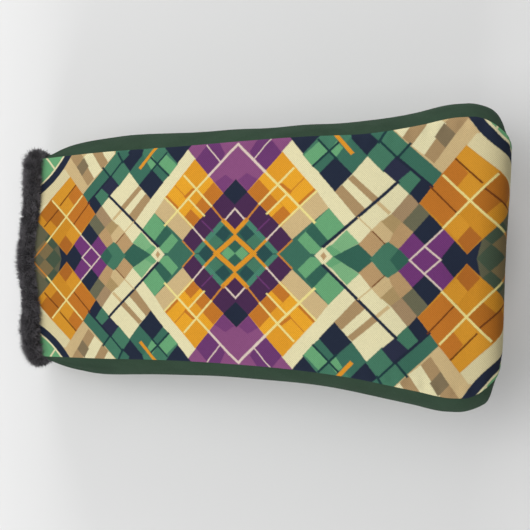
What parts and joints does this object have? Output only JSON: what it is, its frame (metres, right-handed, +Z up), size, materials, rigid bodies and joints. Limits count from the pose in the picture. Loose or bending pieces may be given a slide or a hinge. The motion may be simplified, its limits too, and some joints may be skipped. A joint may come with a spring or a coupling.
{
  "type": "driver head cover",
  "caption": "Padded sewn sleeve for a golf driver: printed front and back panels, bulging side gussets, plush lining and a rolled plush lip at the elastic mouth.",
  "frame": {"origin": "bottom centre of the whole cover's box, on the surface that it lies on", "axes": "+X from the mouth to the closed end, +Y to the left side, +Z up through the printed front panel"},
  "size_m": [0.27, 0.1656, 0.128],
  "materials": {
    "printed_cloth": "matte woven polyester with a multicolour plaid and argyle print",
    "gusset_cloth": "matte dark green woven polyester",
    "foam_padding": "open-cell foam",
    "plush_lining": "charcoal short-pile plush",
    "plush_lip": "charcoal long-pile plush",
    "elastic": "covered knitted elastic",
    "thread": "twisted polyester sewing thread"
  },
  "bodies": {
    "root": {"front_panel": "printed_cloth", "back_panel": "printed_cloth", "left_gusset": "gusset_cloth", "right_gusset": "gusset_cloth", "front_padding": "foam_padding", "back_padding": "foam_padding", "left_padding": "foam_padding", "right_padding": "foam_padding", "front_lining": "plush_lining", "back_lining": "plush_lining", "left_lining": "plush_lining", "right_lining": "plush_lining", "mouth_lip": "plush_lip", "left_mouth_elastic": "elastic", "right_mouth_elastic": "elastic", "front_left_seam_thread": "thread", "front_right_seam_thread": "thread", "back_left_seam_thread": "thread", "back_right_seam_thread": "thread", "end_seam_thread": "thread", "mouth_seam_thread": "thread"}
  },
  "joints": []
}
